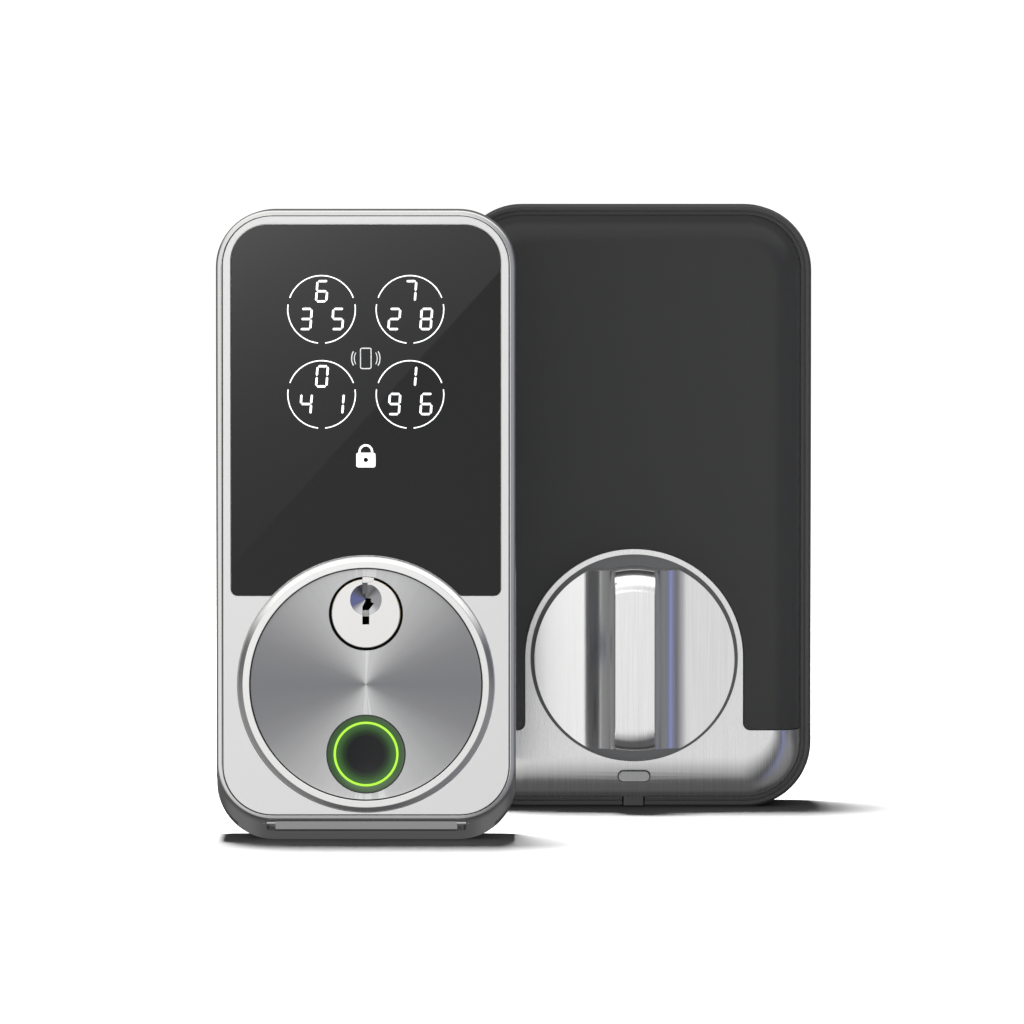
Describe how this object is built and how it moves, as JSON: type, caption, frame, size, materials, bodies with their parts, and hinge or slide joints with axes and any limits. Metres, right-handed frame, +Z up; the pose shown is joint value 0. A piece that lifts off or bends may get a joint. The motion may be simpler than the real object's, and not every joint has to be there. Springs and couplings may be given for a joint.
{
  "type": "keypad smart lock",
  "caption": "Two-part door lock: outdoor unit with touch keypad, round dial, key plug and fingerprint sensor; indoor unit with thumb turn, sliding battery cover and motor drive.",
  "frame": {"origin": "middle of the whole set's footprint, on the surface that both units stand on", "axes": "+Z up, front faces -Y, +X to the right as seen from the front, +Y towards the door side of each unit"},
  "size_m": [0.1466, 0.135, 0.152],
  "materials": {
    "case_metal": "satin",
    "face_metal": "satin",
    "black_glass": "gloss",
    "legend_white": "lit",
    "diffuser": "translucent",
    "circuit_board": "satin",
    "ring_metal": "satin",
    "brushed_dial": "circular brushed",
    "plug_metal": "satin",
    "brass": "satin",
    "spring_steel": "bright",
    "dark_steel": "satin",
    "zinc_plate": "satin",
    "sensor_black": "gloss",
    "sensor_green": "lit",
    "sensor_glass": "gloss",
    "black_plastic": "satin",
    "rubber_black": "matte",
    "cover_black": "fine texture",
    "housing_dark": "satin",
    "knob_metal": "vertical brushed",
    "escutcheon_metal": "vertical brushed",
    "battery_wrap": "gloss",
    "nylon": "satin",
    "gold": "bright"
  },
  "bodies": {
    "interior_unit": {"mounting_plate": "zinc_plate", "rear_housing": "housing_dark", "housing_screws": "zinc_plate", "escutcheon": "escutcheon_metal", "battery_tray": "black_plastic", "batteries": "battery_wrap", "battery_contacts": "spring_steel", "knob_bearing": "brass", "idler_axle": "spring_steel", "motor": "zinc_plate", "gearbox_plate": "zinc_plate", "interior_board": "circuit_board", "cable_socket": "nylon", "button_switch": "black_plastic"},
    "exterior_unit": {"exterior_case": "case_metal", "face_plate": "face_metal", "touch_glass": "black_glass", "key_legends": "legend_white", "light_guide": "diffuser", "keypad_board": "circuit_board", "dial_ring": "ring_metal", "dial_plate": "brushed_dial", "cylinder_body": "brass", "driver_pins": "spring_steel", "pin_springs": "spring_steel", "gear_plate": "zinc_plate", "sensor_housing": "sensor_black", "sensor_light_ring": "sensor_green", "sensor_lens": "sensor_glass", "sensor_board": "circuit_board", "exterior_board": "circuit_board", "buzzer": "black_plastic", "exterior_back_plate": "zinc_plate", "back_plate_screws": "zinc_plate", "mounting_posts": "zinc_plate", "gasket": "rubber_black", "cable_grommet": "rubber_black", "power_contacts": "gold"},
    "thumb_turn": {"knob": "knob_metal", "knob_shaft": "zinc_plate", "retaining_ring": "dark_steel", "drive_gear": "brass"},
    "idler": {"idler_gear": "nylon"},
    "pinion": {"motor_pinion": "brass"},
    "cover": {"battery_cover": "cover_black"},
    "latch": {"cover_latch": "housing_dark"},
    "button": {"mode_button": "knob_metal", "button_spring": "spring_steel"},
    "plug": {"key_plug": "plug_metal", "key_pins": "brass", "plug_gear": "brass", "plug_clip": "dark_steel"},
    "tail": {"tailpiece_gear": "brass", "tailpiece": "zinc_plate"},
    "flap": {"port_flap": "case_metal"}
  },
  "joints": [
    {"name": "exterior_pull", "type": "slide", "parent": "interior_unit", "child": "exterior_unit", "axis": [0, -1, 0], "range_m": [0, 0.1]},
    {"name": "thumb_turn", "type": "hinge", "parent": "interior_unit", "child": "thumb_turn", "pos_m": [0.0285, 0.025, 0.03825], "axis": [0, -1, 0], "range_deg": [-90, 90]},
    {"name": "idler_spin", "type": "hinge", "parent": "interior_unit", "child": "idler", "pos_m": [0.0285, 0.051, 0.05625], "axis": [0, -1, 0], "range_deg": [-450, 450]},
    {"name": "pinion_spin", "type": "hinge", "parent": "interior_unit", "child": "pinion", "pos_m": [0.041, 0.051, 0.05625], "axis": [0, -1, 0], "range_deg": [-1800, 1800]},
    {"name": "cover_slide", "type": "slide", "parent": "interior_unit", "child": "cover", "axis": [0, 0, 1], "range_m": [0, 0.13]},
    {"name": "latch_press", "type": "slide", "parent": "interior_unit", "child": "latch", "axis": [0, 0, 1], "range_m": [0, 0.0008], "stiffness_N_per_m": 900, "springref_m": -0.0004},
    {"name": "button_press", "type": "slide", "parent": "interior_unit", "child": "button", "axis": [0, 1, 0], "range_m": [0, 0.0008], "stiffness_N_per_m": 900, "springref_m": -0.0004},
    {"name": "key_turn", "type": "hinge", "parent": "exterior_unit", "child": "plug", "pos_m": [-0.03725, -0.055, 0.0548], "axis": [0, -1, 0], "range_deg": [-90, 90]},
    {"name": "tailpiece_turn", "type": "hinge", "parent": "exterior_unit", "child": "tail", "pos_m": [-0.03725, -0.045, 0.0378], "axis": [0, -1, 0], "range_deg": [-90, 90]},
    {"name": "flap_open", "type": "hinge", "parent": "exterior_unit", "child": "flap", "pos_m": [-0.03725, -0.06246, 0.00419], "axis": [-1, 0, 0], "range_deg": [0, 95]}
  ],
  "couplings": [
    {"joint": "idler_spin", "follows": "thumb_turn", "ratio": -5},
    {"joint": "pinion_spin", "follows": "thumb_turn", "ratio": 20},
    {"joint": "tailpiece_turn", "follows": "key_turn", "ratio": -1}
  ]
}
